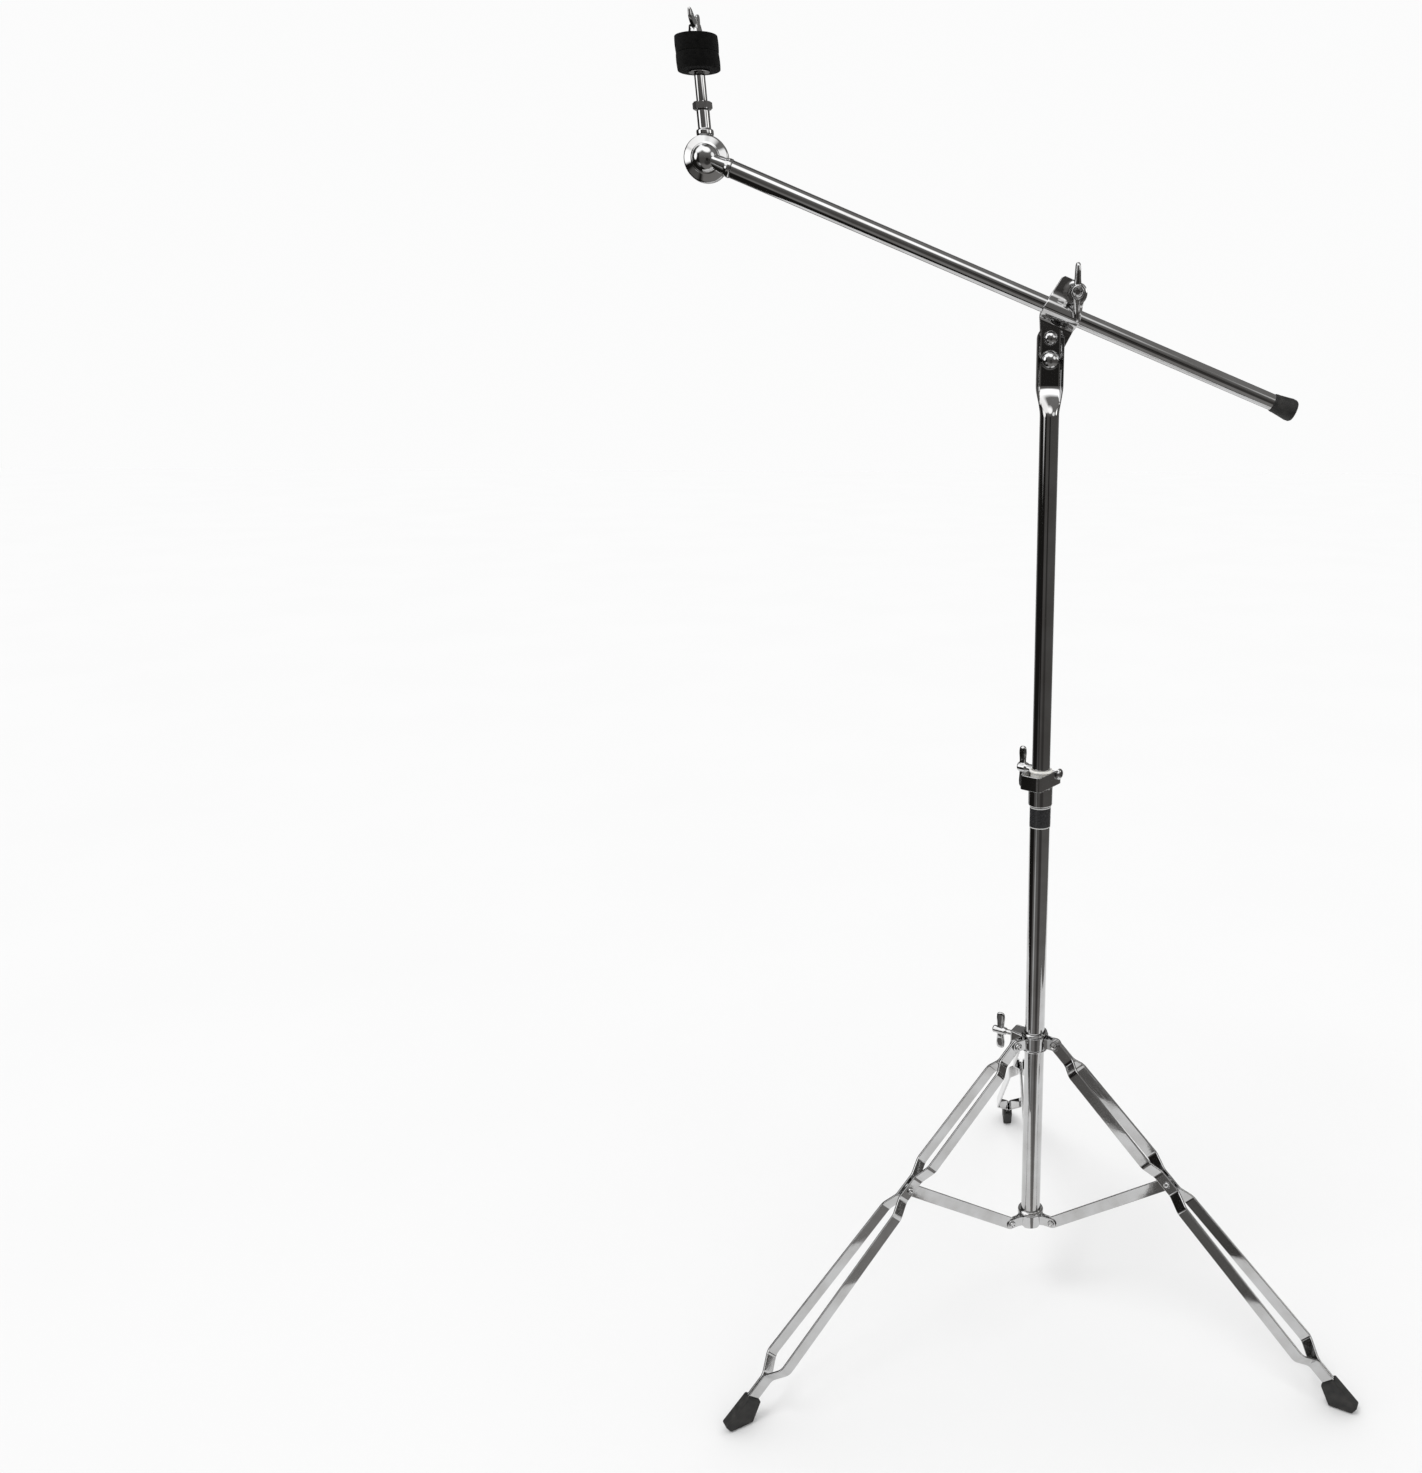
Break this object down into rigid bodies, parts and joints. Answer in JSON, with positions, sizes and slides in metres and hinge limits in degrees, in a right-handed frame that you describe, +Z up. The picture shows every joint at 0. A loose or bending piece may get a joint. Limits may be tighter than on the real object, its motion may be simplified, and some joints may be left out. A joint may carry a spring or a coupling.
{
  "type": "cymbal boom stand",
  "caption": "Folding tripod stand with a telescopic column and a tilting, sliding boom that carries a cymbal between felts on a toothed tilter.",
  "frame": {"origin": "on the floor, at the middle of the stand's bounding box; the column's axis stands at x 4.6 mm, y -95.5 mm", "axes": "+Z up along the column; -Y is the front, between the two front legs; -X is the cymbal end of the boom"},
  "size_m": [0.6908, 0.591, 1.3866],
  "materials": {
    "chrome": "bright chrome plate on steel, dark reflections, light wear at edges",
    "rubber": "matte black moulded rubber",
    "felt": "dense black wool felt",
    "nylon": "natural white nylon",
    "label": "dark film band with plain edge lines, no lettering"
  },
  "bodies": {
    "base": {"base_tube": "chrome", "hub_sleeve": "chrome", "hub_plate_front": "chrome", "hub_plate_left": "chrome", "hub_plate_right": "chrome", "hub_pin_rear": "chrome", "hub_pin_left": "chrome", "hub_pin_right": "chrome", "label_band": "label", "height_clamp_ring": "chrome", "height_clamp_strap": "chrome", "height_clamp_screw": "chrome"},
    "collar": {"collar_sleeve": "chrome", "collar_plate_front": "chrome", "collar_plate_right": "chrome", "collar_lock_plate": "chrome", "collar_pin_rear": "chrome", "collar_pin_left": "chrome", "collar_pin_right": "chrome"},
    "collar_screw": {"collar_wing_screw": "chrome"},
    "leg_rear": {"leg_rear_strip_a": "chrome", "leg_rear_strip_b": "chrome", "leg_rear_pin_a": "chrome", "leg_rear_pin_b": "chrome", "leg_rear_foot": "rubber"},
    "brace_rear": {"brace_rear": "chrome"},
    "leg_left": {"leg_left_strip_a": "chrome", "leg_left_strip_b": "chrome", "leg_left_pin_a": "chrome", "leg_left_pin_b": "chrome", "leg_left_foot": "rubber"},
    "brace_left": {"brace_left": "chrome"},
    "leg_right": {"leg_right_strip_a": "chrome", "leg_right_strip_b": "chrome", "leg_right_pin_a": "chrome", "leg_right_pin_b": "chrome", "leg_right_foot": "rubber"},
    "brace_right": {"brace_right": "chrome"},
    "height_nut": {"height_wing_nut": "chrome"},
    "bush": {"height_bush": "nylon"},
    "column": {"middle_tube": "chrome", "head_rivet": "chrome", "tilt_bolt": "chrome"},
    "tilt_nut": {"tilt_wing_nut": "chrome"},
    "boom_clamp": {"boom_clamp_front": "chrome", "boom_clamp_rear": "chrome", "boom_clamp_nut": "chrome"},
    "boom_screw": {"boom_wing_screw": "chrome"},
    "boom": {"boom_tube": "chrome", "boom_end_cap": "rubber", "tilter_boom_half": "chrome", "tilter_bolt": "chrome"},
    "tilter_nut": {"tilter_wing_nut": "chrome"},
    "cymbal_post": {"tilter_rod_half": "chrome", "cymbal_rod": "chrome", "rod_lock_nut": "chrome", "seat_washer": "chrome", "lower_felt": "felt"},
    "top_felt": {"upper_felt": "felt"},
    "top_nut": {"cymbal_wing_nut": "chrome"}
  },
  "joints": [
    {"name": "collar_slide", "type": "slide", "parent": "base", "child": "collar", "axis": [0, 0, 1], "range_m": [0, 0.131]},
    {"name": "leg_rear_hinge", "type": "hinge", "parent": "collar", "child": "leg_rear", "pos_m": [0.00464, -0.06995, 0.346], "axis": [-1, 0, 0], "range_deg": [0, 46.5]},
    {"name": "brace_rear_hinge", "type": "hinge", "parent": "base", "child": "brace_rear", "pos_m": [0.00464, -0.06745, 0.111], "axis": [1, 0, 0], "range_deg": [0, 54.5]},
    {"name": "leg_left_hinge", "type": "hinge", "parent": "collar", "child": "leg_left", "pos_m": [-0.01744, -0.1082, 0.346], "axis": [0.5, -0.866, 0], "range_deg": [0, 46.5]},
    {"name": "brace_left_hinge", "type": "hinge", "parent": "base", "child": "brace_left", "pos_m": [-0.01961, -0.10945, 0.111], "axis": [-0.5, 0.866, 0], "range_deg": [0, 54.5]},
    {"name": "leg_right_hinge", "type": "hinge", "parent": "collar", "child": "leg_right", "pos_m": [0.02672, -0.1082, 0.346], "axis": [0.5, 0.866, 0], "range_deg": [0, 46.5]},
    {"name": "brace_right_hinge", "type": "hinge", "parent": "base", "child": "brace_right", "pos_m": [0.02889, -0.10945, 0.111], "axis": [-0.5, -0.866, 0], "range_deg": [0, 54.5]},
    {"name": "collar_screw_turn", "type": "hinge", "parent": "collar", "child": "collar_screw", "pos_m": [-0.03347, -0.07345, 0.3465], "axis": [-0.866, 0.5, 0], "continuous": true},
    {"name": "height_nut_turn", "type": "hinge", "parent": "base", "child": "height_nut", "pos_m": [-0.00611, -0.06835, 0.6619], "axis": [-0.7944, 0.6074, 0], "continuous": true},
    {"name": "column_swivel", "type": "hinge", "parent": "base", "child": "bush", "pos_m": [0.00464, -0.09545, 0.66], "axis": [0, 0, 1], "continuous": true},
    {"name": "height_slide", "type": "slide", "parent": "bush", "child": "column", "axis": [0, 0, 1], "range_m": [-0.36, 0.09]},
    {"name": "tilt_nut_turn", "type": "hinge", "parent": "column", "child": "tilt_nut", "pos_m": [0.00464, -0.07545, 1.0859], "axis": [0, 1, 0], "continuous": true},
    {"name": "boom_tilt", "type": "hinge", "parent": "column", "child": "boom_clamp", "pos_m": [0.00464, -0.08545, 1.0859], "axis": [0, 1, 0], "range_deg": [-70, 55]},
    {"name": "boom_screw_turn", "type": "hinge", "parent": "boom_clamp", "child": "boom_screw", "pos_m": [0.02716, -0.10745, 1.14742], "axis": [0, -1, 0], "continuous": true},
    {"name": "boom_slide", "type": "slide", "parent": "boom_clamp", "child": "boom", "axis": [0.9309, 0, -0.3652], "range_m": [-0.15, 0.2]},
    {"name": "tilter_nut_turn", "type": "hinge", "parent": "boom", "child": "tilter_nut", "pos_m": [-0.32011, -0.06745, 1.26218], "axis": [0, 1, 0], "continuous": true},
    {"name": "tilter_hinge", "type": "hinge", "parent": "boom", "child": "cymbal_post", "pos_m": [-0.32011, -0.08445, 1.26218], "axis": [0, 1, 0], "range_deg": [-110, 75]},
    {"name": "top_felt_lift", "type": "slide", "parent": "cymbal_post", "child": "top_felt", "axis": [-0.0523, 0, 0.9986], "range_m": [0, 0.035]},
    {"name": "top_nut_turn", "type": "hinge", "parent": "top_felt", "child": "top_nut", "pos_m": [-0.32587, -0.07795, 1.37203], "axis": [-0.0523, 0, 0.9986], "continuous": true}
  ],
  "couplings": [
    {"joint": "leg_rear_hinge", "follows": "collar_slide", "rad_per_m": 6.165},
    {"joint": "brace_rear_hinge", "follows": "collar_slide", "rad_per_m": 7.205},
    {"joint": "leg_left_hinge", "follows": "collar_slide", "rad_per_m": 6.165},
    {"joint": "brace_left_hinge", "follows": "collar_slide", "rad_per_m": 7.205},
    {"joint": "leg_right_hinge", "follows": "collar_slide", "rad_per_m": 6.165},
    {"joint": "brace_right_hinge", "follows": "collar_slide", "rad_per_m": 7.205}
  ]
}
